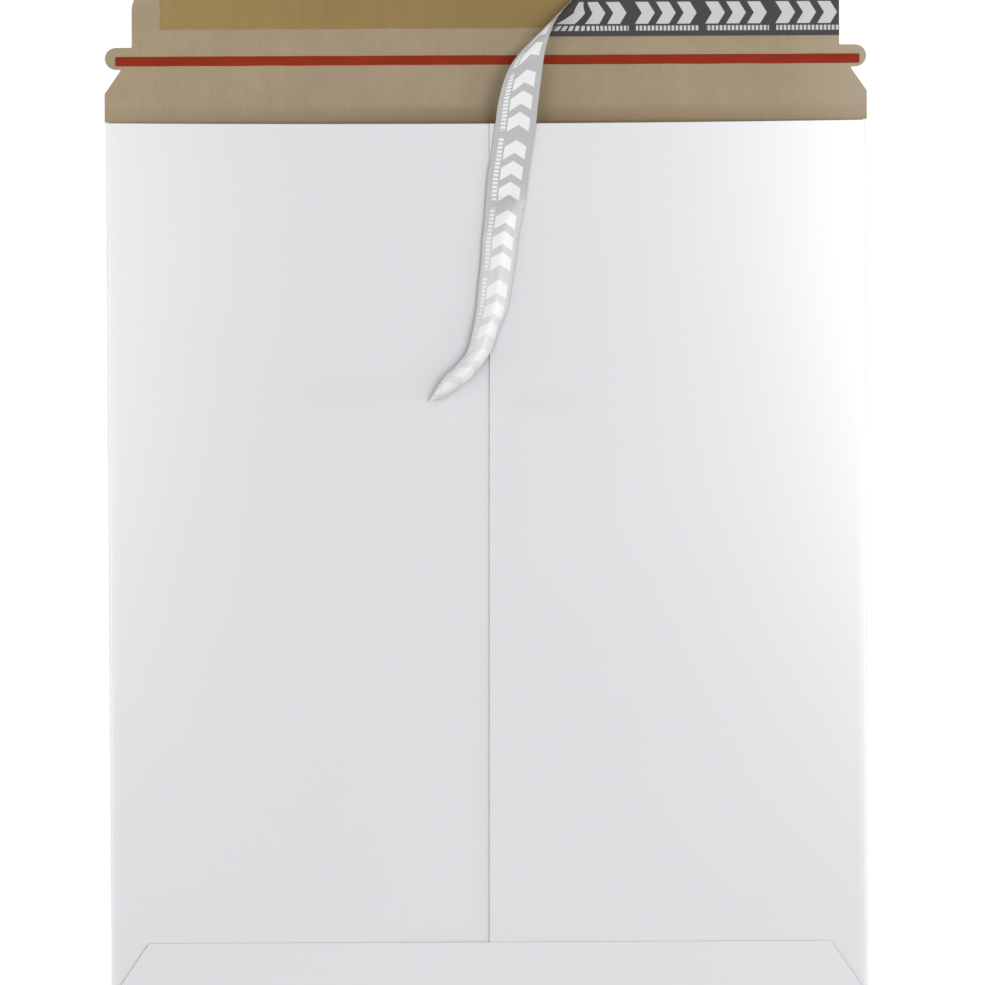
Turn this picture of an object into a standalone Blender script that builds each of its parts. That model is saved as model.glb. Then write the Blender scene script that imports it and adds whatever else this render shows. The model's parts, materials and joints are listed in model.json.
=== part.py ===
"""Photo mailer: a pocket folded from one sheet of white coated board, lying seam side up.

Its closing flap is folded open, with a red tear strip, a band of adhesive and the printed
release liner, which is peeled for half its length and hangs down over the pocket.
X is across the mailer, Y runs from the bottom fold to the flap, Z is up, away from the table.
The origin is the centre of the front panel's outer face.
"""

import math

import bmesh
import bpy
from mathutils import Matrix, Vector

MM = 0.001

# Board and pocket
BOARD = 0.71 * MM
WIDTH = 323.85 * MM
HEIGHT = 381.0 * MM
FOLD_INSET = 0.64 * MM
FOLD_INNER_RADIUS = 0.35 * MM
SEAM_LAP = 13.0 * MM
SEAM_AT_MOUTH = 1.6 * MM
SEAM_AT_BOTTOM = -0.3 * MM
GLUE_ROOM = 0.2 * MM
GLUE_THICKNESS = 0.06 * MM
LAP_FLAT = 3.0 * MM

# Sprung mouth: the back panels bow up between their side folds
MOUTH_BOW = 6.0 * MM
BOW_POWER = 2.5
MOUTH_DIP = 1.0 * MM

# Bottom flap, glued over the back panels
BOTTOM_FLAP = 31.6 * MM
BOTTOM_FLAP_STRAIGHT = 9.6 * MM
BOTTOM_FLAP_END_INSET = 15.0 * MM
SIDE_RELIEF = 3.0 * MM
DRAPE = 60.0 * MM

# Closing flap, measured from the mouth's edge at the side folds
FLAP_LENGTH = 60.0 * MM
SCORE_FROM_MOUTH = 6.1 * MM
SCORE_GAP = 0.3 * MM
FLAP_STRAIGHT = 12.4 * MM
NOTCH_FROM_MOUTH = 22.0 * MM
NOTCH_INSET = 6.7 * MM
TAB_FROM_MOUTH = 22.6 * MM
TAB_HEIGHT = 9.4 * MM
TAB_INSET = 0.25 * MM
FLAP_TOP_INSET = 11.7 * MM
FLAP_CORNER = 12.7 * MM
CLOSED_ROOM = 0.86 * MM

# Films on the flap's inner face
FILM_GAP = 0.1 * MM
FILM = 0.1 * MM
TEAR_FROM_MOUTH = 24.1 * MM
TEAR_WIDTH = 4.0 * MM
TEAR_END_INSET = 3.9 * MM
TEAR_SHIFT = 0.75 * MM
ADHESIVE_FROM_TOP = 7.7 * MM
ADHESIVE_WIDTH = 12.7 * MM
ADHESIVE_END_INSET = 12.0 * MM
LINER_FROM_TOP = 6.9 * MM
LINER_WIDTH = 17.2 * MM
LINER_END_WIDTH = 9.0 * MM
LINER_END_REACH = 12.0 * MM
LINER_CURL = 3.0 * MM
LINER_SLACK = 0.97
MIN_HALF_ARC = 0.01
PEEL_X = 25.7 * MM

# Steps that curves are drawn with
FOLD_STEPS = 8
PANEL_STEPS = 12
FLAT_STEPS = 2
LENGTH_STEPS = 15
ARC_STEPS = 10
LINER_STEPS = 4
LINER_ACROSS = 8

BOTTOM_Y = -HEIGHT / 2
MOUTH_Y = HEIGHT / 2
FOLD_RADIUS = FOLD_INNER_RADIUS + BOARD / 2
FOLD_X = WIDTH / 2 - FOLD_INSET - FOLD_RADIUS - BOARD / 2
PANEL_Z = BOARD / 2 + 2 * FOLD_RADIUS
LAP_RISE = BOARD + GLUE_ROOM
FLAT_Y = BOTTOM_Y + BOTTOM_FLAP
MOUTH_TOP = PANEL_Z + MOUTH_BOW + LAP_RISE + BOARD / 2
SCORE_Y = MOUTH_Y + SCORE_FROM_MOUTH
AXIS_Z = (MOUTH_TOP + BOARD + CLOSED_ROOM) / 2
TEAR_Z = BOARD + FILM_GAP
ADHESIVE_Z = BOARD + FILM_GAP
LINER_Z = ADHESIVE_Z + FILM + FILM_GAP
LINER_FROM_MOUTH = FLAP_LENGTH - LINER_FROM_TOP - LINER_WIDTH
FLAP_TOP_X = WIDTH / 2 - FLAP_TOP_INSET

# The peeled liner, as pairs of points where its lower and its upper edge pass. Each is
# millimetres across, millimetres from the mouth, and millimetres above the surface under it,
# for a liner LOOP_WIDTH wide whose lower edge is stuck LOOP_REACH from the mouth.
LOOP_WIDTH = 17.2
LOOP_REACH = 35.9
LOOP = (
    ((18.9, 33.3, 4.6), (34.2, 48.6, 6.6)),
    ((17.3, 31.7, 5.6), (31.7, 45.6, 8.6)),
    ((15.1, 29.7, 6.0), (29.3, 41.8, 9.8)),
    ((12.9, 26.9, 6.2), (27.5, 37.4, 10.2)),
    ((10.8, 23.9, 6.0), (26.1, 33.2, 9.8)),
    ((8.9, 20.1, 5.3), (24.9, 28.0, 8.2)),
    ((7.1, 14.9, 4.0), (23.8, 20.5, 6.0)),
    ((5.6, 9.1, 2.2), (22.7, 11.9, 3.2)),
    ((4.7, 4.0, 1.0), (21.9, 5.2, 1.4)),
    ((4.2, 0.0, 0.5), (21.4, 0.0, 0.6)),
    ((2.5, -12.4, 0.3), (19.6, -12.0, 0.3)),
    ((0.8, -23.0, 0.3), (17.9, -23.0, 0.3)),
    ((0.0, -33.0, 0.3), (16.9, -33.0, 0.3)),
    ((-0.6, -41.3, 0.3), (16.2, -41.5, 0.3)),
    ((-1.4, -48.5, 0.5), (15.4, -49.5, 0.3)),
    ((-2.1, -58.3, 0.5), (12.5, -59.5, 0.3)),
    ((-3.3, -69.0, 0.5), (10.7, -68.5, 0.3)),
    ((-4.3, -79.0, 0.6), (9.1, -79.5, 0.3)),
    ((-5.9, -88.5, 0.8), (5.2, -89.0, 0.4)),
    ((-8.4, -97.5, 1.0), (1.3, -98.0, 0.5)),
    ((-13.0, -104.0, 1.2), (-6.9, -107.6, 0.8)),
    ((-18.6, -109.8, 1.0), (-13.8, -112.8, 0.8)),
    ((-25.4, -118.9, 0.5), (-17.9, -117.2, 0.5)),
)

COATED_WHITE = (0.72, 0.72, 0.745)
RAW_BOARD = (0.38, 0.31, 0.22)
TEAR_RED = (0.29, 0.032, 0.017)
GLUE_AMBER = (0.31, 0.21, 0.085)
LINER_GREY = (0.07, 0.062, 0.06)
LINER_PALE = (0.46, 0.46, 0.47)
GLUE_CLEAR = (0.62, 0.58, 0.48)


def clear_scene():
    for thing in list(bpy.data.objects):
        bpy.data.objects.remove(thing, do_unlink=True)


def material(name, colour, roughness):
    made = bpy.data.materials.new(name)
    made.use_nodes = True
    shader = made.node_tree.nodes["Principled BSDF"]
    shader.inputs["Base Color"].default_value = (*colour, 1.0)
    shader.inputs["Roughness"].default_value = roughness
    shader.inputs["Metallic"].default_value = 0.0
    made.diffuse_color = (*colour, 1.0)
    return made


def spread(first, last, steps):
    """Evenly spaced values from first to last, with both ends."""
    return [first + (last - first) * i / steps for i in range(steps + 1)]


def bow(x, y):
    """Height of the sprung back panels over their flat place: most at the mouth's middle."""
    along = min(1.0, max(0.0, (MOUTH_Y - y) / (MOUTH_Y - FLAT_Y)))
    across = min(1.0, abs(x) / FOLD_X)
    return MOUTH_BOW * (1 - along**2) * (1 - across**BOW_POWER)


def lap(x):
    """Rise of the right back panel, which climbs from its fold onto the left one at the seam."""
    edge = SEAM_LAP + LAP_FLAT
    return LAP_RISE * min(1.0, max(0.0, (FOLD_X - x) / (FOLD_X - edge)))


def seam_edge(y):
    """Where the right panel's free edge lies, as the blank is folded a little askew."""
    return SEAM_AT_BOTTOM + (SEAM_AT_MOUTH - SEAM_AT_BOTTOM) * (y - BOTTOM_Y) / HEIGHT


def left_panel_z(x, y):
    return PANEL_Z + bow(x, y)


def right_panel_z(x, y):
    return PANEL_Z + bow(x, y) + lap(x)


def bottom_flap_z(x, y):
    """The bottom flap follows the right panel, and drapes from the seam onto the left one."""
    rise = lap(x) if x > 0 else LAP_RISE * max(0.0, 1 + x / DRAPE)
    return PANEL_Z + bow(x, y) + BOARD + GLUE_ROOM + rise


def panel_top(x, y):
    """Upper surface of the back panels near the seam, as what lies over both meets it."""
    return PANEL_Z + bow(x, y) + LAP_RISE + BOARD / 2


def mouth_edge(x):
    """Where the back panels end: the cut edge dips towards the seam."""
    return MOUTH_Y - MOUTH_DIP * (1 - (x / FOLD_X) ** 2)


def grid(rows, columns, place):
    """A patch of the folded sheet: place gives a point of its middle surface and the way in."""
    return [[place(row, column) for column in columns] for row in rows]


def thick_sheet(name, patches, thickness, materials):
    """One closed solid from patches that share their edges. Outer faces take the first
    material, and inner faces and cut edges the last one."""
    middle = bmesh.new()
    inward = middle.verts.layers.float_vector.new("inward")
    for patch in patches:
        made = []
        for row in patch:
            line = []
            for point, direction in row:
                vert = middle.verts.new(point)
                vert[inward] = Vector(direction).normalized()
                line.append(vert)
            made.append(line)
        for lower, upper in zip(made, made[1:]):
            for a, b, c, d in zip(lower, lower[1:], upper[1:], upper):
                middle.faces.new((a, b, c, d))
    bmesh.ops.remove_doubles(middle, verts=middle.verts, dist=1e-6)
    bmesh.ops.recalc_face_normals(middle, faces=middle.faces)
    middle.verts.index_update()

    solid = bmesh.new()
    outer = [solid.verts.new(v.co - v[inward] * thickness / 2) for v in middle.verts]
    inner = [solid.verts.new(v.co + v[inward] * thickness / 2) for v in middle.verts]
    for face in middle.faces:
        loop = [v.index for v in face.verts]
        solid.faces.new([outer[i] for i in loop]).material_index = 0
        solid.faces.new([inner[i] for i in reversed(loop)]).material_index = len(materials) - 1
    for edge in middle.edges:
        if edge.is_boundary:
            a, b = edge.link_loops[0].vert.index, edge.link_loops[0].link_loop_next.vert.index
            wall = solid.faces.new((outer[b], outer[a], inner[a], inner[b]))
            wall.material_index = len(materials) - 1
    bmesh.ops.recalc_face_normals(solid, faces=solid.faces)
    middle.free()
    return finish_mesh(name, solid, materials)


def finish_mesh(name, made, materials):
    mesh = bpy.data.meshes.new(name)
    made.to_mesh(mesh)
    made.free()
    for one in materials:
        mesh.materials.append(one)
    mesh.shade_smooth()
    mesh.set_sharp_from_angle(angle=math.radians(30))
    thing = bpy.data.objects.new(name, mesh)
    bpy.context.scene.collection.objects.link(thing)
    return thing


def side_fold(side):
    """Half turn from the front panel to a back panel. side is 1 on the right, -1 on the left."""

    def place(share, angle):
        x = side * (FOLD_X + FOLD_RADIUS * math.sin(angle))
        z = BOARD / 2 + FOLD_RADIUS * (1 - math.cos(angle))
        return (x, side_row(share), z), (-side * math.sin(angle), 0, math.cos(angle))

    return place


def side_row(share):
    """Height along the side folds, from their relief above the bottom fold to the mouth."""
    start = BOTTOM_Y + SIDE_RELIEF
    return start + share * (MOUTH_Y - start)


def length_shares():
    """Rows along the side folds, one of them where the back panels begin to bow."""
    kink = (FLAT_Y - side_row(0)) / (MOUTH_Y - side_row(0))
    return spread(0, kink, FLAT_STEPS) + spread(kink, 1, LENGTH_STEPS)[1:]


def left_panel(share, x):
    start = BOTTOM_Y + SIDE_RELIEF
    y = start + share * (mouth_edge(x) - start)
    return (x, y, left_panel_z(x, y)), (0, 0, -1)


def right_panel(share, inward):
    """inward runs from 0 at the side fold to 1 at the seam."""
    x = FOLD_X + inward * (seam_edge(side_row(share)) - FOLD_X)
    start = BOTTOM_Y + SIDE_RELIEF
    y = start + share * (mouth_edge(x) - start)
    return (x, y, right_panel_z(x, y)), (0, 0, -1)


def bottom_radius(x):
    return (bottom_flap_z(x, BOTTOM_Y) - BOARD / 2) / 2


def bottom_centre(x):
    """Where the front panel's bottom fold starts to turn."""
    return BOTTOM_Y + bottom_radius(x) + BOARD / 2


def front_tail(share, x):
    start = bottom_centre(x)
    return (x, start + share * (BOTTOM_Y + SIDE_RELIEF - start), BOARD / 2), (0, 0, 1)


def bottom_fold(angle, x):
    radius = bottom_radius(x)
    y = bottom_centre(x) - radius * math.sin(angle)
    z = BOARD / 2 + radius * (1 - math.cos(angle))
    return (x, y, z), (0, math.sin(angle), math.cos(angle))


def bottom_flap(reach, x):
    """reach is the distance above the bottom fold. Past its straight part the flap tapers."""
    taper = max(0.0, reach - BOTTOM_FLAP_STRAIGHT) / (BOTTOM_FLAP - BOTTOM_FLAP_STRAIGHT)
    narrow = x * (1 - taper * BOTTOM_FLAP_END_INSET / FOLD_X)
    y = max(BOTTOM_Y + reach, bottom_centre(x))
    return (narrow, y, bottom_flap_z(narrow, y)), (0, 0, -1)


def flat_inside(y, x):
    return (x, y, BOARD / 2), (0, 0, 1)


def make_pocket(white, raw):
    across = spread(-FOLD_X, FOLD_X, 2 * PANEL_STEPS)
    shares = length_shares()
    turn = spread(0, math.pi, FOLD_STEPS)
    lip_end = SCORE_Y - SCORE_GAP / 2
    slit = MOUTH_Y + SCORE_GAP
    flap_rows = [0.0, BOTTOM_FLAP_STRAIGHT]
    flap_rows += spread(BOTTOM_FLAP_STRAIGHT, BOTTOM_FLAP, 3)[1:]
    patches = [
        grid([side_row(s) for s in shares], across, flat_inside),
        grid([0, 1], across, front_tail),
        grid(turn, across, bottom_fold),
        grid(flap_rows, across, bottom_flap),
        grid([MOUTH_Y, slit, lip_end], across, flat_inside),
        grid([slit, lip_end], [FOLD_X, WIDTH / 2], flat_inside),
        grid([slit, lip_end], [-WIDTH / 2, -FOLD_X], flat_inside),
        grid(shares, turn, side_fold(1)),
        grid(shares, turn, side_fold(-1)),
        grid(shares, spread(0, 1, PANEL_STEPS), right_panel),
        grid(shares, spread(-FOLD_X, 0, PANEL_STEPS) + [SEAM_LAP], left_panel),
    ]
    return thick_sheet("pocket", patches, BOARD, [white, raw])


def make_seam_glue(clear):
    """Glue line between the two back panels, along the middle of their lap."""
    columns = [SEAM_LAP * 0.2, SEAM_LAP * 0.5, SEAM_LAP * 0.8]

    def place(share, x):
        y = left_panel(share, x)[0][1]
        y = min(max(y, BOTTOM_Y + 2 * SIDE_RELIEF), mouth_edge(x) - SIDE_RELIEF)
        return (x, y, left_panel_z(x, y) + (BOARD + GLUE_ROOM) / 2), (0, 0, -1)

    patch = grid(length_shares(), columns, place)
    return thick_sheet("seam_glue", [patch], GLUE_THICKNESS, [clear])


def make_bottom_glue(clear):
    """Glue line under the bottom flap, across both back panels."""
    half = FOLD_X - 2 * BOTTOM_FLAP_END_INSET
    low = BOTTOM_Y + BOTTOM_FLAP_STRAIGHT + SIDE_RELIEF
    high = BOTTOM_Y + BOTTOM_FLAP - 2 * SIDE_RELIEF

    def place(y, x):
        return (x, y, bottom_flap_z(x, y) - (BOARD + GLUE_ROOM) / 2), (0, 0, -1)

    patch = grid([low, high], spread(-half, half, 2 * PANEL_STEPS), place)
    return thick_sheet("bottom_flap_glue", [patch], GLUE_THICKNESS, [clear])


def arc(centre, radius, start, end, steps):
    """Points on a circle's arc, in degrees from +X."""
    turns = [math.radians(angle) for angle in spread(start, end, steps)]
    return [(centre[0] + radius * math.cos(t), centre[1] + radius * math.sin(t)) for t in turns]


def flap_outline():
    """Half outline of the closing flap, from its fold score up the right side to the top."""
    half = WIDTH / 2
    tab = TAB_HEIGHT / 2
    tab_centre = (half - TAB_INSET - tab, MOUTH_Y + TAB_FROM_MOUTH + tab)
    top = MOUTH_Y + FLAP_LENGTH
    corner = (FLAP_TOP_X - FLAP_CORNER, top - FLAP_CORNER)
    return [
        (half, SCORE_Y + SCORE_GAP / 2),
        (half, MOUTH_Y + FLAP_STRAIGHT),
        (half - NOTCH_INSET, MOUTH_Y + NOTCH_FROM_MOUTH),
        (half - NOTCH_INSET, MOUTH_Y + TAB_FROM_MOUTH),
        *arc(tab_centre, tab, -90, 90, ARC_STEPS),
        (FLAP_TOP_X, MOUTH_Y + TAB_FROM_MOUTH + TAB_HEIGHT),
        *arc(corner, FLAP_CORNER, 0, 90, ARC_STEPS),
    ]


def flat_plate(name, outline, low, high, materials):
    """A flat sheet from low to high. Its underside takes the first material."""
    made = bmesh.new()
    under = [made.verts.new((x, y, low)) for x, y in outline]
    over = [made.verts.new((x, y, high)) for x, y in outline]
    made.faces.new(list(reversed(under))).material_index = 0
    made.faces.new(over).material_index = len(materials) - 1
    for i in range(len(outline)):
        j = (i + 1) % len(outline)
        wall = made.faces.new((under[i], under[j], over[j], over[i]))
        wall.material_index = len(materials) - 1
    bmesh.ops.recalc_face_normals(made, faces=made.faces)
    return finish_mesh(name, made, materials)


def make_closing_flap(white, raw):
    right = flap_outline()
    left = [(-x, y) for x, y in reversed(right)]
    return flat_plate("closing_flap", right + left, 0.0, BOARD, [white, raw])


def strip_outline(half, low, high):
    return [(half, low), (half, high), (-half, high), (-half, low)]


def make_tear_strip(red):
    low = MOUTH_Y + TEAR_FROM_MOUTH
    outline = strip_outline(WIDTH / 2 - TEAR_END_INSET, low, low + TEAR_WIDTH)
    outline = [(x + TEAR_SHIFT, y) for x, y in outline]
    return flat_plate("tear_strip", outline, TEAR_Z, TEAR_Z + FILM, [red])


def make_adhesive_band(amber):
    low = MOUTH_Y + FLAP_LENGTH - ADHESIVE_FROM_TOP - ADHESIVE_WIDTH
    half = FLAP_TOP_X - ADHESIVE_END_INSET
    outline = strip_outline(half, low, low + ADHESIVE_WIDTH)
    return flat_plate("adhesive_band", outline, ADHESIVE_Z, ADHESIVE_Z + FILM, [amber])


def ground(y):
    """Surface under the peeled liner: the flap's inner face, rising to the mouth's edge."""
    below = min(y, MOUTH_Y)
    share = min(1.0, max(0.0, (MOUTH_Y + LINER_FROM_MOUTH - y) / LINER_FROM_MOUTH))
    ease = share * share * (3 - 2 * share)
    return BOARD + (panel_top(0, below) - BOARD) * ease


def liner_route():
    """The liner's lower and upper edge, from its end on the flap to its hanging tip."""
    low = MOUTH_Y + LINER_FROM_MOUTH
    high = low + LINER_WIDTH
    z = LINER_Z + FILM / 2
    pairs = [
        (Vector((x, low, z)), Vector((x, high, z)))
        for x in spread(FLAP_TOP_X, PEEL_X + LINER_WIDTH + 2 * MM, 6)
    ]
    diagonal = Vector((-1, -1, 0)).normalized()
    outward = Vector((-1, 1, 0)).normalized()
    for angle in spread(0, math.pi / 2, LINER_STEPS):
        shift = diagonal * LINER_CURL * angle
        shift += outward * LINER_CURL * math.sin(angle)
        shift += Vector((0, 0, LINER_CURL * (1 - math.cos(angle))))
        lower = Vector((PEEL_X, low, z)) + shift
        upper = Vector((PEEL_X + LINER_WIDTH, high, z)) + shift
        pairs.append((lower, upper))
    grow = (LINER_WIDTH / (LOOP_WIDTH * MM) - 1) / 2
    for lower, upper in LOOP:
        a, b = liner_point(lower, z), liner_point(upper, z)
        pairs.append((a - (b - a) * grow, b + (b - a) * grow))
    return pairs


def liner_point(place, stuck_z):
    reach = place[1] * MM
    if reach > 0:
        reach *= LINER_FROM_MOUTH / (LOOP_REACH * MM)
    x, y = place[0] * MM, MOUTH_Y + reach
    return Vector((x, y, ground(y) + stuck_z - BOARD + place[2] * MM))


def smooth_between(points, steps):
    """Points on the curve through the given ones, with steps between each two."""
    ends = [2 * points[0] - points[1], *points, 2 * points[-1] - points[-2]]
    made = []
    for a, b, c, d in zip(ends, ends[1:], ends[2:], ends[3:]):
        for i in range(steps):
            t = i / steps
            made.append(
                b
                + (c - a) * t / 2
                + (2 * a - 5 * b + 4 * c - d) * t * t / 2
                + (3 * b - a - 3 * c + d) * t * t * t / 2
            )
    return made + [points[-1]]


def half_arc(ratio):
    """Half the angle of an arc whose ends are ratio of its length apart."""
    low, high = 0.0, math.pi
    for _ in range(24):
        middle = (low + high) / 2
        if math.sin(middle) > ratio * middle:
            low = middle
        else:
            high = middle
    return low


def liner_widths(centre):
    """The liner's width along its centre line. Its free end is cut slantwise."""
    reach, widths = 0.0, [LINER_END_WIDTH]
    for a, b in zip(reversed(centre), reversed(centre[:-1])):
        reach += (a - b).length
        share = min(1.0, reach / LINER_END_REACH)
        widths.append(LINER_END_WIDTH + share * (LINER_WIDTH - LINER_END_WIDTH))
    return list(reversed(widths))


def liner_row(lower, upper, along, width, steps):
    """Points across the liner with the way in. Where its edges come closer than its width,
    with some slack, it arches between them."""
    across = upper - lower
    chord = across.length
    across.normalize()
    inward = across.cross(along).normalized()
    half = half_arc(chord / (width * LINER_SLACK))
    row = []
    for share in spread(0, 1, steps):
        angle = half * (2 * share - 1)
        reach, rise = chord * share, 0.0
        if half > MIN_HALF_ARC:
            radius = chord / 2 / math.sin(half)
            reach = chord / 2 + radius * math.sin(angle)
            rise = radius * (math.cos(angle) - math.cos(half))
        way = inward * math.cos(angle) - across * math.sin(angle)
        row.append((lower + across * reach - inward * rise, way))
    return row


def make_release_liner(pale, printed):
    pairs = liner_route()
    lower = smooth_between([pair[0] for pair in pairs], LINER_STEPS)
    upper = smooth_between([pair[1] for pair in pairs], LINER_STEPS)
    centre = [(a + b) / 2 for a, b in zip(lower, upper)]
    widths = liner_widths(centre)
    rows = []
    for i, (a, b) in enumerate(zip(lower, upper)):
        along = centre[min(i + 1, len(centre) - 1)] - centre[max(i - 1, 0)]
        rows.append(liner_row(a, b, along, widths[i], LINER_ACROSS))
    return thick_sheet("release_liner", [rows], FILM, [pale, printed])


def hang_on_axis(things):
    """The flap and what is stuck to it turn about the fold's axis."""
    axis = bpy.data.objects.new("flap_fold_axis", None)
    axis.empty_display_size = FLAP_LENGTH
    axis.location = (0, SCORE_Y, AXIS_Z)
    bpy.context.scene.collection.objects.link(axis)
    for thing in things:
        thing.data.transform(Matrix.Translation((0, -SCORE_Y, -AXIS_Z)))
        thing.parent = axis


def main():
    clear_scene()
    white = material("coated_white_board", COATED_WHITE, 0.45)
    raw = material("raw_board", RAW_BOARD, 0.9)
    clear = material("set_glue", GLUE_CLEAR, 0.5)
    pale = material("liner_paper", LINER_PALE, 0.45)
    printed = material("liner_print", LINER_GREY, 0.45)
    make_pocket(white, raw)
    make_seam_glue(clear)
    make_bottom_glue(clear)
    flap = [
        make_closing_flap(white, raw),
        make_tear_strip(material("tear_tape", TEAR_RED, 0.4)),
        make_adhesive_band(material("adhesive", GLUE_AMBER, 0.3)),
        make_release_liner(pale, printed),
    ]
    hang_on_axis(flap)


main()
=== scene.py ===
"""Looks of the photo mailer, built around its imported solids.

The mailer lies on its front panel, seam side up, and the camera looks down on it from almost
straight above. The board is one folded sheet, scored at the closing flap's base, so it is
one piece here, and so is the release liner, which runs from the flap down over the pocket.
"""

import json
import math

import bmesh
import bpy
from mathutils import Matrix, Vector, noise

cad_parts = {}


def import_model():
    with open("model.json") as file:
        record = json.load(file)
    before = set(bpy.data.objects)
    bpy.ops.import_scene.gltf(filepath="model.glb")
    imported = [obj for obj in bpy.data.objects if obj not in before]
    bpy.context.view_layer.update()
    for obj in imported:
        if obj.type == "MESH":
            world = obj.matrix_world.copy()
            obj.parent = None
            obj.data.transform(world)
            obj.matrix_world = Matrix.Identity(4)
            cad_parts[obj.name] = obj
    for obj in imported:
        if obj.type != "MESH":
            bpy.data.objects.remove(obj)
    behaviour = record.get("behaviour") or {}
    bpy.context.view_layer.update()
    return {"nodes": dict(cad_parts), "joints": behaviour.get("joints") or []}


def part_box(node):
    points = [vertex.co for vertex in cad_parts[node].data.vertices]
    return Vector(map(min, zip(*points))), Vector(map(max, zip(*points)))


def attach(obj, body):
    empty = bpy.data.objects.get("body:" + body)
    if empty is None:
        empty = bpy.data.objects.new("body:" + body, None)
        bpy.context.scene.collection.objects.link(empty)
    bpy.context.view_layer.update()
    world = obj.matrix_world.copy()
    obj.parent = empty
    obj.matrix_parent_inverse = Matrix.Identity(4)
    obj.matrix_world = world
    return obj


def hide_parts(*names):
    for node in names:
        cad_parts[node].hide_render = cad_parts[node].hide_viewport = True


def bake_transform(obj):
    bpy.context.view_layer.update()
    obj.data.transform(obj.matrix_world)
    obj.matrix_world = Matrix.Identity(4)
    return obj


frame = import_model()

MM = 0.001

# Sizes that the frame gives
POCKET_LOW, POCKET_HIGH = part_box("pocket")
FLAP_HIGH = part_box("closing_flap")[1]
TEAR_LOW, TEAR_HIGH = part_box("tear_strip")
BAND_LOW, BAND_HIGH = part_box("adhesive_band")
LINER_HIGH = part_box("release_liner")[1]
AXIS = Vector(frame["joints"][0]["pos_m"])
BOARD = FLAP_HIGH.z
WIDTH = 2 * POCKET_HIGH.x
BOTTOM_Y = POCKET_LOW.y
MOUTH_Y = -BOTTOM_Y
SCORE_Y = AXIS.y
FLAP_TOP_Y = FLAP_HIGH.y

# Folds and laps of the board
FOLD_INSET = 0.64 * MM
FOLD_INSIDE = 0.35 * MM
FOLD_RADIUS = FOLD_INSIDE + BOARD / 2
FOLD_X = WIDTH / 2 - FOLD_INSET - FOLD_RADIUS - BOARD / 2
PANEL_Z = BOARD / 2 + 2 * FOLD_RADIUS
GLUE_ROOM = 0.2 * MM
LAP_RISE = BOARD + GLUE_ROOM
SEAM_LAP = 13.0 * MM
SEAM_AT_MOUTH = 1.6 * MM
SEAM_AT_BOTTOM = -0.3 * MM
LAP_FLAT = 3.0 * MM
MOUTH_BOW = POCKET_HIGH.z - PANEL_Z - LAP_RISE - BOARD / 2
BOW_POWER = 2.5
MOUTH_DIP = 1.0 * MM
BOTTOM_FLAP = 31.6 * MM
BOTTOM_FLAP_STRAIGHT = 9.6 * MM
BOTTOM_FLAP_END_INSET = 15.0 * MM
SIDE_RELIEF = 3.0 * MM
SIDE_START_Y = BOTTOM_Y + SIDE_RELIEF
DRAPE = 60.0 * MM
FLAT_Y = BOTTOM_Y + BOTTOM_FLAP

# Rounding of edges that turn by more than an angle in degrees, and the groove that is
# pressed at the score
CUT_ROUND = 0.12 * MM
CUT_ROUND_STEPS = 2
CUT_ANGLE = 60
SCORE_GROOVE = 0.9 * MM
SCORE_GROOVE_DEPTH = 0.16 * MM

# Unevenness of the back panels, and how finely strips' edges waver: turns of the noise in a
# metre, and the slice of the noise that is used
WAVES_ACROSS, WAVES_ALONG, WAVE_SLICE = 9.0, 6.0, 0.3
WAVE_HEIGHT = 0.25 * MM
EDGE_WAVES, EDGE_SLICE = 60.0, 4.0
END_WAVES, END_SLICE = 400.0, 1.7
END_SHIFT = 0.4
TAPE_WOBBLE = 0.12 * MM
ADHESIVE_WOBBLE = 0.25 * MM
ADHESIVE_END_WOBBLE = 0.4 * MM

# Painted shade on the back panels, two soft dark patches: millimetres across, millimetres below the
# mouth, half width
SHADE_PATCHES = ((-61.0, 115.0, 30.0), (21.0, 119.0, 24.0))
SHADE_PATCH_SHAPE = 0.35

# Outline of the closing flap, from the mouth's edge
SLIT = 0.3 * MM
FOLD_ZONE = 5.0 * MM
CREASE_WIDTH = 0.5 * MM
FLAP_STRAIGHT = 12.4 * MM
NOTCH_FROM_MOUTH = 22.0 * MM
NOTCH_INSET = 6.7 * MM
TAB_FROM_MOUTH = 22.6 * MM
TAB_HEIGHT = 9.4 * MM
TAB_INSET = 0.25 * MM
FLAP_TOP_X = LINER_HIGH.x
FLAP_CORNER = 12.7 * MM

# Release liner
LINER_WIDTH = 17.2 * MM
LINER_FROM_MOUTH = LINER_HIGH.y - LINER_WIDTH - MOUTH_Y
LINER_FILM = 0.1 * MM
LINER_LIFT = 0.15 * MM
LINER_Z = BAND_HIGH.z + LINER_LIFT
LINER_END_WIDTH = 9.0 * MM
LINER_END_REACH = 12.0 * MM
LINER_CURL = 3.0 * MM
PEEL_X = 25.7 * MM
PEEL_ROOM = 2.0 * MM
LINER_SLACK = 0.97
MIN_HALF_ARC = 0.01

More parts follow.
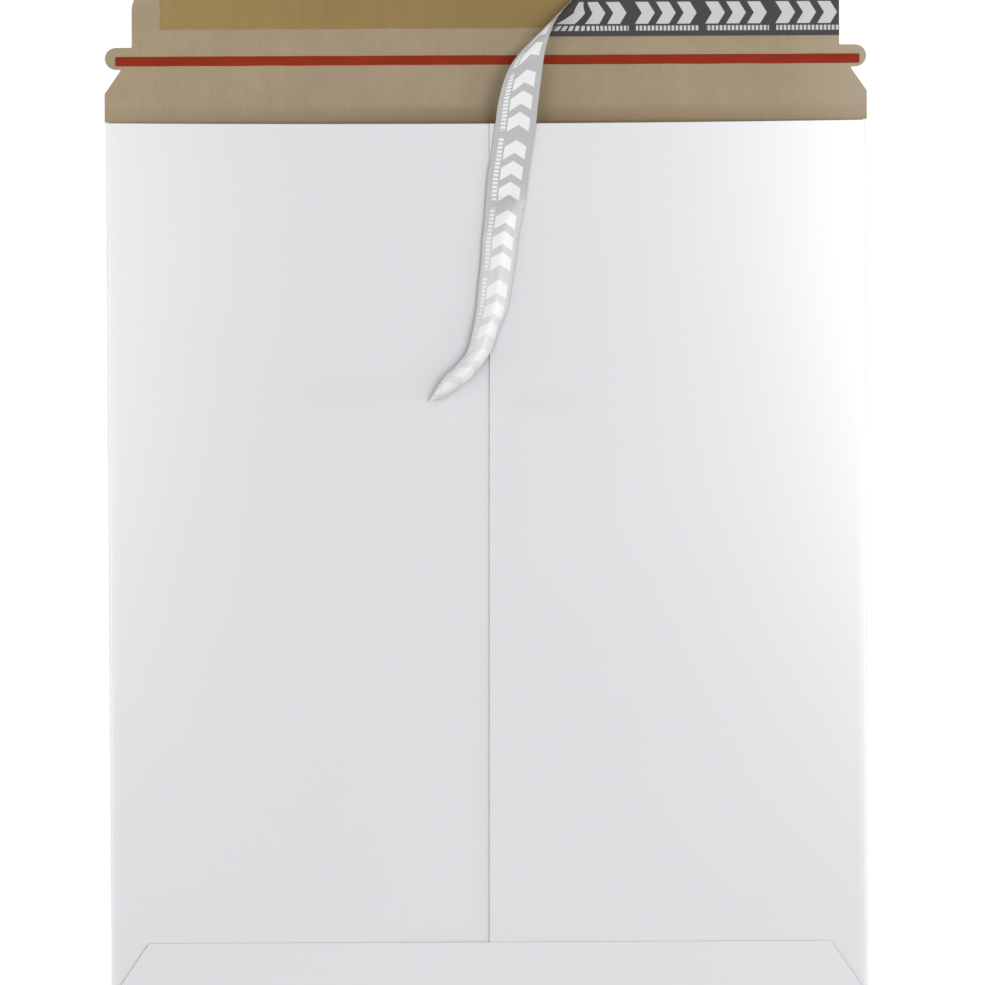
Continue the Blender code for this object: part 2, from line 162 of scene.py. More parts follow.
# The peeled liner's lower and upper edge: millimetres across, millimetres from the mouth,
# and millimetres above the surface under it
LOOP = (
    ((18.9, 33.3, 4.6), (34.2, 48.6, 6.6)),
    ((17.3, 31.7, 5.6), (31.7, 45.6, 8.6)),
    ((15.1, 29.7, 6.0), (29.3, 41.8, 9.8)),
    ((12.9, 26.9, 6.2), (27.5, 37.4, 10.2)),
    ((10.8, 23.9, 6.0), (26.1, 33.2, 9.8)),
    ((8.9, 20.1, 5.3), (24.9, 28.0, 8.2)),
    ((7.1, 14.9, 4.0), (23.8, 20.5, 6.0)),
    ((5.6, 9.1, 2.2), (22.7, 11.9, 3.2)),
    ((4.7, 4.0, 1.0), (21.9, 5.2, 1.4)),
    ((4.2, 0.0, 0.5), (21.4, 0.0, 0.6)),
    ((2.5, -12.4, 0.3), (19.6, -12.0, 0.3)),
    ((0.8, -23.0, 0.3), (17.9, -23.0, 0.3)),
    ((0.0, -33.0, 0.3), (16.6, -33.0, 0.3)),
    ((-0.6, -41.3, 0.3), (14.9, -41.5, 0.3)),
    ((-1.4, -48.5, 0.5), (13.4, -49.5, 0.3)),
    ((-2.1, -58.3, 0.5), (12.2, -59.5, 0.3)),
    ((-3.3, -69.0, 0.5), (10.7, -68.5, 0.3)),
    ((-4.3, -79.0, 0.6), (8.7, -79.5, 0.3)),
    ((-5.9, -88.5, 0.8), (4.6, -89.0, 0.4)),
    ((-8.4, -97.5, 1.0), (1.3, -98.0, 0.5)),
    ((-13.0, -104.0, 1.2), (-6.9, -107.6, 0.8)),
    ((-18.6, -109.8, 1.0), (-13.8, -112.8, 0.8)),
    ((-25.4, -118.9, 0.5), (-17.9, -117.2, 0.5)),
)

# Steps that curves and surfaces are drawn with
FOLD_STEPS = 12
PANEL_STEPS = 54
FRONT_STEPS = 60
LENGTH_STEPS = 120
ZONE_STEPS = 40
LAP_STEPS = 4
BOTTOM_FLAP_STEPS = 10
ARC_STEPS = 14
STRIP_ALONG, STRIP_ACROSS = 220, 6
STUCK_STEPS = 6
CURL_STEPS = 4
LINER_STEPS = 10
LINER_ACROSS = 16
HALVINGS = 24

# Corners this close are one, and edges that turn by more than these degrees look sharp
WELD = 0.001 * MM
SHARP_ANGLE = 30
LINER_SHARP_ANGLE = 60

# Colours, as linear values
COATED_WHITE = (0.72, 0.72, 0.745)
RAW_BOARD = (0.358, 0.281, 0.184)
# The dark raw board colour serves both its flecks and its painted shade
RAW_BOARD_DARK = (0.245, 0.178, 0.096)
RAW_BOARD_PALE = (0.41, 0.345, 0.255)
CUT_EDGE = (0.5, 0.465, 0.42)
TEAR_RED = (0.27, 0.024, 0.006)
TEAR_RED_DARK = (0.235, 0.019, 0.004)
ADHESIVE_AMBER = (0.325, 0.225, 0.072)
ADHESIVE_DARK = (0.25, 0.165, 0.05)
LINER_INK = (0.042, 0.038, 0.037)
LINER_LIGHT = (0.56, 0.56, 0.57)
LINER_PAPER = (0.62, 0.62, 0.63)
LINER_BACK = (0.44, 0.44, 0.45)
# Painted sheen on the liner's back
LINER_BACK_SHEEN = (0.68, 0.68, 0.7)
LINER_BACK_LIGHT = (0.78, 0.78, 0.79)
DRY_GLUE = (0.62, 0.58, 0.48)
FLOOR_COLOUR = (0.86, 0.86, 0.86)

# How much darker or lighter than its colour a surface gets in places
CLOUD_TONE = 0.965
# Patches of painted shade: their darkest tone, and how much of it they take at their middle
SHADE_PATCH_TONE, SHADE_PATCH_SHARE = 0.9, 0.5
BOARD_LIGHT_TONE, BOARD_DARK_TONE = 1.1, 0.78
INK_TONE = 1.2
PLAIN_TONE = 0.93

# The raw board is paler at its right end and flecked. Its lip, from the score to the mouth,
# is painted with the shadow of the sprung mouth's edge: at the score and how much more at the
# mouth, at the sides and how much more in the middle
PALE_FROM = 125.0 * MM
PALE_SHARE = 0.8
FLECK_SHARE = 0.45
LIP_AT_SCORE, LIP_TO_MOUTH = 0.28, 0.32
LIP_AT_SIDES, LIP_TO_MIDDLE = 0.45, 0.9
CREASE_SHADE = 0.12

# Where a painted sheen starts to lighten the liner's pale back below the mouth, and where it is
# lightest
SHEEN_FROM, SHEEN_TO = 25.0 * MM, 95.0 * MM

# Print of the liner: along its length, and across it from its lower edge. What is printed
# lies between two shares of each pitch.
PRINT_PERIOD = 29.8 * MM
CHEVRONS = 3
CHEVRON_PITCH = 8.9 * MM
CHEVRON_SHARES = (0.1, 0.72)
CHEVRON_SLOPE = 0.62
CHEVRON_LOW, CHEVRON_HIGH = 5.2 * MM, 14.5 * MM
CHEVRON_MIDDLE = (CHEVRON_LOW + CHEVRON_HIGH) / 2
TICK_PITCH = 1.7 * MM
TICK_SHARES = (0.2, 0.85)
TICK_LOW, TICK_HIGH = 2.3 * MM, 4.4 * MM
PRINT_SOFT = 0.08 * MM

# Camera, set to the photograph
PHOTO_SCALE = 0.42575 * MM
PHOTO_SIZE = (984, 985)
PHOTO_ROLL = 0.0049
PHOTO_TILT = 0.035
MOUTH_IN_PHOTO = (485.9, 121.9)
CAMERA_HEIGHT = 3.2
SENSOR = 36.0

# Floor: metres from its middle to its edge, its place under the mailer, and its own glow
FLOOR_HALF = 6.0
FLOOR_DROP = 0.2 * MM
FLOOR_GLOW = 0.35

# Soft light from all round, and lamps above each side of the mailer: name, side, degrees
# from straight above, metres towards the flap, watts
WORLD_STRENGTH = 0.36
LAMP_DISTANCE = 3.0
LAMP_SIZE = (0.8, 1.6)
LAMPS = (
    ("key", 1, 30, 0.0, 30.2),
    ("gloss", 1, 24, 0.6, 8.8),
    ("fill", -1, 30, 0.0, 18.9),
    ("low_right", 1, 70, 0.0, 22.0),
    ("low_left", -1, 70, 0.0, 22.0),
)


def spread(first, last, steps):
    """Evenly spaced values from first to last, with both ends."""
    return [first + (last - first) * i / steps for i in range(steps + 1)]


def between(first, last, share):
    return first + share * (last - first)


def grid(rows, columns, place):
    return [[place(row, column) for column in columns] for row in rows]


def link(name, data):
    thing = bpy.data.objects.new(name, data)
    bpy.context.scene.collection.objects.link(thing)
    return thing


def bow(x, y):
    """Height of the sprung back panels over their flat place: most at the mouth's middle."""
    along = min(1.0, max(0.0, (MOUTH_Y - y) / (MOUTH_Y - FLAT_Y)))
    across = min(1.0, abs(x) / FOLD_X)
    edge = 1 - across**BOW_POWER
    return MOUTH_BOW * (1 - along**2) * edge + waves(x, y) * edge * (1 - along**6)


def waves(x, y):
    """Slight unevenness of the board, as it has been opened and pressed flat again."""
    return noise.noise(Vector((x * WAVES_ACROSS, y * WAVES_ALONG, WAVE_SLICE))) * WAVE_HEIGHT


def lap(x):
    """How far the right panel has risen on its way from the side fold to its lap."""
    edge = SEAM_LAP + LAP_FLAT
    return LAP_RISE * min(1.0, max(0.0, (FOLD_X - x) / (FOLD_X - edge)))


def seam_edge(y):
    """Where the right panel's free edge lies, as the blank is folded a little askew."""
    return SEAM_AT_BOTTOM + (SEAM_AT_MOUTH - SEAM_AT_BOTTOM) * (y - BOTTOM_Y) / (MOUTH_Y - BOTTOM_Y)


def left_panel_z(x, y):
    return PANEL_Z + bow(x, y)


def right_panel_z(x, y):
    return PANEL_Z + bow(x, y) + lap(x)


def bottom_flap_z(x, y):
    rise = lap(x) if x > 0 else LAP_RISE * max(0.0, 1 + x / DRAPE)
    return PANEL_Z + bow(x, y) + BOARD + GLUE_ROOM + rise


def panel_top(x, y):
    return PANEL_Z + bow(x, y) + LAP_RISE + BOARD / 2


def mouth_edge(x):
    return MOUTH_Y - MOUTH_DIP * (1 - (x / FOLD_X) ** 2)


def finish_mesh(name, made, materials, sharp=SHARP_ANGLE):
    mesh = bpy.data.meshes.new(name)
    made.to_mesh(mesh)
    made.free()
    for one in materials:
        mesh.materials.append(one)
    mesh.shade_smooth()
    mesh.set_sharp_from_angle(angle=math.radians(sharp))
    return link(name, mesh)


def thick_sheet(name, patches, plates, thickness, materials):
    """One closed piece from patches and flat plates that share their edges. Outer faces take
    the first material, inner faces the second and cut edges the last one."""
    middle = bmesh.new()
    inward = middle.verts.layers.float_vector.new("inward")

    def vertex(point, direction):
        vert = middle.verts.new(point)
        vert[inward] = Vector(direction).normalized()
        return vert

    for patch in patches:
        made = [[vertex(*spot) for spot in row] for row in patch]
        for lower, upper in zip(made, made[1:]):
            for a, b, c, d in zip(lower, lower[1:], upper[1:], upper):
                middle.faces.new((a, b, c, d))
    for plate in plates:
        middle.faces.new([vertex(point, (0, 0, 1)) for point in plate])
    bmesh.ops.remove_doubles(middle, verts=middle.verts, dist=WELD)
    bmesh.ops.recalc_face_normals(middle, faces=middle.faces)
    middle.verts.index_update()

    solid = bmesh.new()
    outer = [solid.verts.new(v.co - v[inward] * thickness / 2) for v in middle.verts]
    inner = [solid.verts.new(v.co + v[inward] * thickness / 2) for v in middle.verts]
    for face in middle.faces:
        loop = [v.index for v in face.verts]
        solid.faces.new([outer[i] for i in loop]).material_index = 0
        solid.faces.new([inner[i] for i in reversed(loop)]).material_index = 1
    for edge in middle.edges:
        if edge.is_boundary:
            a, b = edge.link_loops[0].vert.index, edge.link_loops[0].link_loop_next.vert.index
            wall = solid.faces.new((outer[b], outer[a], inner[a], inner[b]))
            wall.material_index = len(materials) - 1
    bmesh.ops.recalc_face_normals(solid, faces=solid.faces)
    middle.free()
    return finish_mesh(name, solid, materials)


def side_row(share):
    return between(SIDE_START_Y, MOUTH_Y, share)


def side_fold(side):
    def place(share, angle):
        x = side * (FOLD_X + FOLD_RADIUS * math.sin(angle))
        z = BOARD / 2 + FOLD_RADIUS * (1 - math.cos(angle))
        return (x, side_row(share), z), (-side * math.sin(angle), 0, math.cos(angle))

    return place


def back_panel(share, x, height):
    y = between(SIDE_START_Y, mouth_edge(x), share)
    return (x, y, height(x, y)), (0, 0, -1)


def left_panel(share, x):
    return back_panel(share, x, left_panel_z)


def right_panel(share, inward):
    """inward runs from 0 at the side fold to 1 at the seam."""
    return back_panel(share, between(FOLD_X, seam_edge(side_row(share)), inward), right_panel_z)


def bottom_radius(x):
    return (bottom_flap_z(x, BOTTOM_Y) - BOARD / 2) / 2


def bottom_centre(x):
    return BOTTOM_Y + bottom_radius(x) + BOARD / 2


def front_tail(share, x):
    return (x, between(bottom_centre(x), SIDE_START_Y, share), BOARD / 2), (0, 0, 1)


def bottom_fold(angle, x):
    radius = bottom_radius(x)
    y = bottom_centre(x) - radius * math.sin(angle)
    z = BOARD / 2 + radius * (1 - math.cos(angle))
    return (x, y, z), (0, math.sin(angle), math.cos(angle))


def bottom_flap(reach, x):
    taper = max(0.0, reach - BOTTOM_FLAP_STRAIGHT) / (BOTTOM_FLAP - BOTTOM_FLAP_STRAIGHT)
    narrow = x * (1 - taper * BOTTOM_FLAP_END_INSET / FOLD_X)
    y = max(BOTTOM_Y + reach, bottom_centre(x))
    return (narrow, y, bottom_flap_z(narrow, y)), (0, 0, -1)


def flat_inside(y, x):
    return (x, y, BOARD / 2), (0, 0, 1)


def arc(centre, radius, start, end, steps):
    turns = [math.radians(angle) for angle in spread(start, end, steps)]
    return [(centre[0] + radius * math.cos(t), centre[1] + radius * math.sin(t)) for t in turns]


def flap_outline(across):
    """The closing flap above its fold, from the fold's last row round to its start again."""
    half = WIDTH / 2
    tab = TAB_HEIGHT / 2
    tab_centre = (half - TAB_INSET - tab, MOUTH_Y + TAB_FROM_MOUTH + tab)
    corner = (FLAP_TOP_X - FLAP_CORNER, FLAP_TOP_Y - FLAP_CORNER)
    right = [
        (half, MOUTH_Y + FLAP_STRAIGHT),
        (half - NOTCH_INSET, MOUTH_Y + NOTCH_FROM_MOUTH),
        (half - NOTCH_INSET, MOUTH_Y + TAB_FROM_MOUTH),
        *arc(tab_centre, tab, -90, 90, ARC_STEPS),
        (FLAP_TOP_X, MOUTH_Y + TAB_FROM_MOUTH + TAB_HEIGHT),
        *arc(corner, FLAP_CORNER, 0, 90, ARC_STEPS),
    ]
    left = [(-x, y) for x, y in reversed(right)]
    base = [(x, SCORE_Y + FOLD_ZONE) for x in across]
    return [(x, y, BOARD / 2) for x, y in base + right + left]


def soften_edges(thing):
    """Rounds the cut edges of a thick sheet, and keeps the result as its mesh."""
    bevel = thing.modifiers.new("edge", "BEVEL")
    bevel.width = CUT_ROUND
    bevel.segments = CUT_ROUND_STEPS
    bevel.limit_method = "ANGLE"
    bevel.angle_limit = math.radians(CUT_ANGLE)
    bpy.context.view_layer.update()
    shown = thing.evaluated_get(bpy.context.evaluated_depsgraph_get())
    mesh = bpy.data.meshes.new_from_object(shown)
    thing.modifiers.clear()
    thing.data = mesh
    mesh.name = thing.name


def press_score(thing):
    """The creased score at the flap's base is a shallow groove in the inner face."""
    for vert in thing.data.vertices:
        reach = abs(vert.co.y - SCORE_Y) / SCORE_GROOVE
        if reach < 1 and abs(vert.co.z - BOARD) < BOARD / 10:
            vert.co.z -= SCORE_GROOVE_DEPTH * (1 - reach * reach) ** 2


def make_board(materials):
    across = spread(-FOLD_X, FOLD_X, FRONT_STEPS)
    wide = [-WIDTH / 2, *across, WIDTH / 2]
    shares = spread(0, 1, LENGTH_STEPS)
    turn = spread(0, math.pi, FOLD_STEPS)
    slit = MOUTH_Y + SLIT
    zone = [slit, *spread(SCORE_Y - FOLD_ZONE, SCORE_Y + FOLD_ZONE, ZONE_STEPS)]
    flap_rows = [0.0, *spread(BOTTOM_FLAP_STRAIGHT, BOTTOM_FLAP, BOTTOM_FLAP_STEPS)]
    left = spread(-FOLD_X, 0, PANEL_STEPS) + spread(0, SEAM_LAP, LAP_STEPS)[1:]
    patches = [
        grid([side_row(s) for s in shares], across, flat_inside),
        grid([0, 1], across, front_tail),
        grid(turn, across, bottom_fold),
        grid(flap_rows, across, bottom_flap),
        grid([MOUTH_Y, slit], across, flat_inside),
        grid(zone, wide, flat_inside),
        grid(shares, turn, side_fold(1)),
        grid(shares, turn, side_fold(-1)),
        grid(shares, spread(0, 1, PANEL_STEPS), right_panel),
        grid(shares, left, left_panel),
    ]
    board = thick_sheet("board", patches, [flap_outline(wide)], BOARD, materials)
    press_score(board)
    soften_edges(board)
    return board


def close_up(made, over, under, slots):
    """Faces of a thin strip between two grids of vertices: over it, under it and round its
    edge, each in its own material slot."""
    rows, columns = range(len(over) - 1), range(len(over[0]) - 1)

    def face(corners, slot):
        made.faces.new(corners).material_index = slot

    for r in rows:
        for c in columns:
            face((over[r][c], over[r][c + 1], over[r + 1][c + 1], over[r + 1][c]), slots[0])
            face((under[r][c], under[r + 1][c], under[r + 1][c + 1], under[r][c + 1]), slots[1])
    for r in (0, len(rows)):
        for c in columns:
            face((over[r][c], over[r][c + 1], under[r][c + 1], under[r][c]), slots[2])
    for c in (0, len(columns)):
        for r in rows:
            face((over[r][c], over[r + 1][c], under[r + 1][c], under[r][c]), slots[2])
    bmesh.ops.recalc_face_normals(made, faces=made.faces)


def strip(name, low, high, material, wobble, end_wobble=0.0):
    """A thin flat strip whose long edges waver by wobble, and its left end by end_wobble."""

    def spot(share, x):
        y = low.y + (high.y - low.y) * share
        if share in (0, 1):
            y += noise.noise(Vector((x * EDGE_WAVES, share * 2, EDGE_SLICE))) * wobble
        if x == low.x:
            x += (noise.noise(Vector((y * END_WAVES, END_SLICE, 0))) + END_SHIFT) * end_wobble
        return x, y

    plan = grid(spread(0, 1, STRIP_ACROSS), spread(low.x, high.x, STRIP_ALONG), spot)
    made = bmesh.new()
    over = [[made.verts.new((x, y, high.z)) for x, y in row] for row in plan]
    under = [[made.verts.new((x, y, low.z)) for x, y in row] for row in plan]
    close_up(made, over, under, (0, 0, 0))
    return finish_mesh(name, made, [material])


def ground(y):
    """Height of what the liner runs over: the flap's board, then the back panels' middle."""
    below = min(y, MOUTH_Y)
    share = min(1.0, max(0.0, (MOUTH_Y + LINER_FROM_MOUTH - y) / LINER_FROM_MOUTH))
    ease = share * share * (3 - 2 * share)
    return BOARD + (panel_top(0, below) - BOARD) * ease


def liner_point(place):
    x, y = place[0] * MM, MOUTH_Y + place[1] * MM
    return Vector((x, y, ground(y) + LINER_Z - BOARD + place[2] * MM))


def liner_route():
    """The liner's lower and upper edge from its stuck end, round its curl at the slanted
    peel line, to its free end."""
    low = MOUTH_Y + LINER_FROM_MOUTH
    high = low + LINER_WIDTH
    pairs = [
        (Vector((x, low, LINER_Z)), Vector((x, high, LINER_Z)))
        for x in spread(FLAP_TOP_X, PEEL_X + LINER_WIDTH + PEEL_ROOM, STUCK_STEPS)
    ]
    diagonal = Vector((-1, -1, 0)).normalized()
    outward = Vector((-1, 1, 0)).normalized()
    for angle in spread(0, math.pi / 2, CURL_STEPS):
        shift = diagonal * LINER_CURL * angle
        shift += outward * LINER_CURL * math.sin(angle)
        shift += Vector((0, 0, LINER_CURL * (1 - math.cos(angle))))
        lower = Vector((PEEL_X, low, LINER_Z)) + shift
        upper = Vector((PEEL_X + LINER_WIDTH, high, LINER_Z)) + shift
        pairs.append((lower, upper))
    return pairs + [(liner_point(lower), liner_point(upper)) for lower, upper in LOOP]


def smooth_between(points, steps):
    """Points on the curve through the given ones, with steps between each two."""
    ends = [2 * points[0] - points[1], *points, 2 * points[-1] - points[-2]]
    made = []
    for a, b, c, d in zip(ends, ends[1:], ends[2:], ends[3:]):
        for i in range(steps):
            t = i / steps
            made.append(
                b
                + (c - a) * t / 2
                + (2 * a - 5 * b + 4 * c - d) * t * t / 2
                + (3 * b - a - 3 * c + d) * t * t * t / 2
            )
    return made + [points[-1]]


def half_arc(ratio):
    """Half the angle of an arc whose ends are ratio of its length apart."""
    low, high = 0.0, math.pi
    for _ in range(HALVINGS):
        middle = (low + high) / 2
        if math.sin(middle) > ratio * middle:
            low = middle
        else:
            high = middle
    return low


def liner_widths(centre):
    """The liner's width along its centre line. Its free end is cut slantwise."""
    reach, widths = 0.0, [LINER_END_WIDTH]
    for a, b in zip(reversed(centre), reversed(centre[:-1])):
        reach += (a - b).length
        share = min(1.0, reach / LINER_END_REACH)
        widths.append(LINER_END_WIDTH + share * (LINER_WIDTH - LINER_END_WIDTH))
    return list(reversed(widths))


def liner_row(lower, upper, along, width, steps):
    """Points across the liner, each with the way that its printed face looks. Where the edges
    come closer than its width, with some slack, it arches between them, to its plain side."""
    across = upper - lower
    chord = across.length
    across.normalize()
    front = across.cross(along).normalized()
    half = half_arc(chord / (width * LINER_SLACK))
    row = []
    for share in spread(0, 1, steps):
        angle = half * (2 * share - 1)
        reach, rise = chord * share, 0.0
        if half > MIN_HALF_ARC:
            radius = chord / 2 / math.sin(half)
            reach = chord / 2 + radius * math.sin(angle)
            rise = radius * (math.cos(angle) - math.cos(half))
        way = front * math.cos(angle) - across * math.sin(angle)
        row.append((lower + across * reach - front * rise, way))
    return row


def make_liner(materials):
    """A thin strip with its length and width, in metres, as UV coordinates."""
    pairs = liner_route()
    lower = smooth_between([pair[0] for pair in pairs], LINER_STEPS)
    upper = smooth_between([pair[1] for pair in pairs], LINER_STEPS)
    centre = [(a + b) / 2 for a, b in zip(lower, upper)]
    widths = liner_widths(centre)
    made = bmesh.new()
    layer = made.loops.layers.uv.new("strip")
    over, under, spots = [], [], {}
    length = 0.0
    for i, (a, b) in enumerate(zip(lower, upper)):
        before, after = centre[max(i - 1, 0)], centre[min(i + 1, len(centre) - 1)]
        length += (centre[i] - before).length
        row = liner_row(a, b, after - before, widths[i], LINER_ACROSS)
        shift = LINER_FILM / 2
        over.append([made.verts.new(point + way * shift) for point, way in row])
        under.append([made.verts.new(point - way * shift) for point, way in row])
        for share, *both in zip(spread(0, 1, LINER_ACROSS), over[-1], under[-1]):
            spots.update({vert: (length, share * widths[i]) for vert in both})
    close_up(made, over, under, (0, 1, 2))
    for face in made.faces:
        for corner in face.loops:
            corner[layer].uv = spots[corner.vert]
    return finish_mesh("liner", made, materials, LINER_SHARP_ANGLE)


class Nodes:
    """Shader nodes of a material or of the world, added and linked by short calls."""

    def __init__(self, owner):
        owner.use_nodes = True
        self.owner = owner
        self.tree = owner.node_tree
        self.shader = self.tree.nodes.get("Principled BSDF")

    def add(self, kind, **settings):
        node = self.tree.nodes.new(kind)
        for key, value in settings.items():
            setattr(node, key, value)
        return node

    def feed(self, socket, value):
        """Gives a socket a number, a colour or another node's output."""
        if isinstance(value, (int, float)):
            socket.default_value = value
        elif isinstance(value, tuple):
            socket.default_value = (*value, 1.0)
        else:
            self.tree.links.new(value, socket)

    def math(self, operation, a, b=0.0, c=0.0):
        node = self.add("ShaderNodeMath", operation=operation)
        for socket, value in zip(node.inputs, (a, b, c)):
            self.feed(socket, value)
        return node.outputs[0]

    def total(self, *parts):
        """Sum of values, each times its weight."""
        made = 0.0
        for value, weight in parts:
            made = self.math("MULTIPLY_ADD", value, weight, made)
        return made

    def mix(self, share, a, b):
        node = self.add("ShaderNodeMix", data_type="RGBA")
        self.feed(node.inputs["Factor"], share)
        self.feed(node.inputs[6], a)
        self.feed(node.inputs[7], b)
        return node.outputs[2]

    def ramp(self, value, low, high):
        """0 at low, 1 at high."""
        node = self.add("ShaderNodeMapRange")
        self.feed(node.inputs["From Min"], low)
        self.feed(node.inputs["From Max"], high)
        self.feed(node.inputs["Value"], value)
        return node.outputs["Result"]

    def place(self, axis):
        """Where the surface lies along an axis, in metres."""
        parts = self.add("ShaderNodeSeparateXYZ")
        self.feed(parts.inputs["Vector"], self.add("ShaderNodeTexCoord").outputs["Object"])
        return parts.outputs[axis]

    def noise(self, scale, detail=2.0, stretch=(1, 1, 1), roughness=0.5):
        mapping = self.add("ShaderNodeMapping")
        mapping.inputs["Scale"].default_value = stretch
        self.feed(mapping.inputs["Vector"], self.add("ShaderNodeTexCoord").outputs["Object"])
        texture = self.add("ShaderNodeTexNoise")
        self.feed(texture.inputs["Scale"], scale)
        self.feed(texture.inputs["Detail"], detail)
        self.feed(texture.inputs["Roughness"], roughness)
        self.feed(texture.inputs["Vector"], mapping.outputs["Vector"])
        return texture.outputs["Fac"]

    def bump(self, height, strength, distance):
        node = self.add("ShaderNodeBump")
        self.feed(node.inputs["Strength"], strength)
        self.feed(node.inputs["Distance"], distance)
        self.feed(node.inputs["Height"], height)
        self.feed(self.shader.inputs["Normal"], node.outputs["Normal"])

    def seen_by(self, *rays):
        """1 for the kinds of ray that are named, and 0 for all others."""
        path = self.add("ShaderNodeLightPath")
        seen = path.outputs[rays[0]]
        for ray in rays[1:]:
            seen = self.math("MAXIMUM", seen, path.outputs[ray])
        return seen

    def surface(self, colour, roughness, specular=0.5):
        """Sets the main shader and gives the material."""
        self.feed(self.shader.inputs["Base Color"], colour)
        self.feed(self.shader.inputs["Roughness"], roughness)
        self.feed(self.shader.inputs["Specular IOR Level"], specular)
        return self.owner


def new_material(name):
    return Nodes(bpy.data.materials.new(name))


def scaled(colour, share):
    return tuple(c * share for c in colour)


def inside(n, value, low, high, soft=PRINT_SOFT):
    """1 where value lies between low and high, with a soft rim."""
    rise = n.ramp(value, low - soft, low + soft)
    fall = n.ramp(value, high + soft, high - soft)
    return n.math("MULTIPLY", rise, fall)


def repeat(n, value, period):
    """How far value is into its period."""
    return n.math("MULTIPLY", n.math("FRACT", n.math("DIVIDE", value, period)), period)


def shade_patch(n, across, below, reach):
    """1 in the middle of a patch of painted shade, and 0 at its oval rim."""
    sideways = n.math("DIVIDE", n.math("SUBTRACT", n.place("X"), across * MM), reach * MM)
    along = n.math("SUBTRACT", n.place("Y"), MOUTH_Y - below * MM)
    along = n.math("DIVIDE", along, reach * SHADE_PATCH_SHAPE * MM)
    square = n.math("MULTIPLY", along, along)
    away = n.math("SQRT", n.math("MULTIPLY_ADD", sideways, sideways, square))
    return n.ramp(away, 1.0, 0.0)


def coated_board():
    """White clay coating: nearly even, with a faint cloudiness, two patches of painted shade and a
    soft sheen.
    """
    n = new_material("coated_board")
    colour = n.mix(n.noise(9), COATED_WHITE, scaled(COATED_WHITE, CLOUD_TONE))
    # Two soft patches of painted shade on the back panels
    for place in SHADE_PATCHES:
        shade = n.math("MULTIPLY", shade_patch(n, *place), SHADE_PATCH_SHARE)
        colour = n.mix(shade, colour, scaled(COATED_WHITE, SHADE_PATCH_TONE))
    n.bump(n.noise(900, detail=3), strength=0.03, distance=0.1 * MM)
    return n.surface(colour, roughness=0.27, specular=1.0)


def lip_shade(n, height, from_middle):
    """Painted shade: the sprung mouth's shadow on the lip below the score, and shade along the
    crease.
    """
    lip = inside(n, height, MOUTH_Y - BOARD, SCORE_Y - CREASE_WIDTH, CREASE_WIDTH)
    deeper = n.ramp(height, SCORE_Y, MOUTH_Y)
    middle = n.ramp(from_middle, PALE_FROM, 0.0)
    shade = n.math("MULTIPLY", lip, n.math("MULTIPLY_ADD", deeper, LIP_TO_MOUTH, LIP_AT_SCORE))
    shade = n.math("MULTIPLY", shade, n.math("MULTIPLY_ADD", middle, LIP_TO_MIDDLE, LIP_AT_SIDES))
    # Painted shade along the crease of the score
    crease = inside(n, height, SCORE_Y - CREASE_WIDTH, SCORE_Y + CREASE_WIDTH, CREASE_WIDTH)
    return n.math("MULTIPLY_ADD", crease, CREASE_SHADE, shade)


def raw_board():
    """Grey-brown recycled board: fibres, dark flecks, clouds and faint streaks, and painted shade
    on its lip and crease.
    """
    n = new_material("raw_board_fibres")
    across, height = n.place("X"), n.place("Y")
    from_middle = n.math("ABSOLUTE", across)
    streaks = n.ramp(n.noise(90, detail=3, stretch=(1.0, 0.08, 1.0)), 0.25, 0.75)
    fibres = n.ramp(n.noise(700, detail=4, stretch=(1.0, 0.35, 1.0), roughness=0.6), 0.3, 0.7)
    clouds = n.ramp(n.noise(45, detail=4, stretch=(1.0, 0.5, 1.0)), 0.25, 0.75)
    blotches = n.ramp(n.noise(22, stretch=(1.0, 2.2, 1.0)), 0.3, 0.7)
    outer = n.ramp(from_middle, 0.0, WIDTH / 2)
    tone = n.total((streaks, 0.2), (fibres, 0.25), (clouds, 0.3), (blotches, 0.25), (outer, -0.2))
    light, dark = scaled(RAW_BOARD, BOARD_LIGHT_TONE), scaled(RAW_BOARD, BOARD_DARK_TONE)
    colour = n.mix(tone, light, dark)
    pale = n.ramp(across, PALE_FROM, WIDTH / 2)
    colour = n.mix(n.math("MULTIPLY", pale, PALE_SHARE), colour, RAW_BOARD_PALE)
    flecks = n.ramp(n.noise(1500), 0.66, 0.74)
    colour = n.mix(n.math("MULTIPLY", flecks, FLECK_SHARE), colour, RAW_BOARD_DARK)
    # Painted shade: the sprung mouth's shadow on the lip, and shade along the crease
    colour = n.mix(lip_shade(n, height, from_middle), colour, RAW_BOARD_DARK)
    n.bump(fibres, strength=0.12, distance=0.2 * MM)
    return n.surface(colour, roughness=0.88, specular=0.3)


def tear_tape():
    n = new_material("red_tear_tape")
    tone = n.ramp(n.noise(220, detail=3, stretch=(0.3, 1.0, 1.0)), 0.3, 0.7)
    n.bump(n.noise(500, stretch=(0.2, 1.0, 1.0)), strength=0.15, distance=0.1 * MM)
    return n.surface(n.mix(tone, TEAR_RED, TEAR_RED_DARK), roughness=0.45, specular=0.1)


def adhesive():
    """Clear amber film on the board, with fine streaks across its length. It is painted darker
    towards the peel line, as the shadow of the liner's curl."""
    n = new_material("amber_adhesive")
    clouds = n.ramp(n.noise(25, stretch=(1.0, 0.6, 1.0)), 0.2, 0.8)
    streaks = n.ramp(n.noise(260, detail=3, stretch=(1.0, 0.12, 1.0)), 0.25, 0.75)
    # Painted shadow of the liner's curl, darker towards the peel line
    curl_shadow = n.ramp(n.place("X"), BAND_LOW.x, PEEL_X)
    tone = n.total((clouds, 0.5), (streaks, 0.3), (curl_shadow, 0.75))
    n.bump(n.noise(300, detail=3, stretch=(1.0, 0.3, 1.0)), strength=0.1, distance=0.1 * MM)
    return n.surface(n.mix(tone, ADHESIVE_AMBER, ADHESIVE_DARK), roughness=0.35, specular=0.4)


def pitched(n, value, pitch, shares):
    """1 between two shares of each pitch."""
    return inside(n, repeat(n, value, pitch), shares[0] * pitch, shares[1] * pitch)


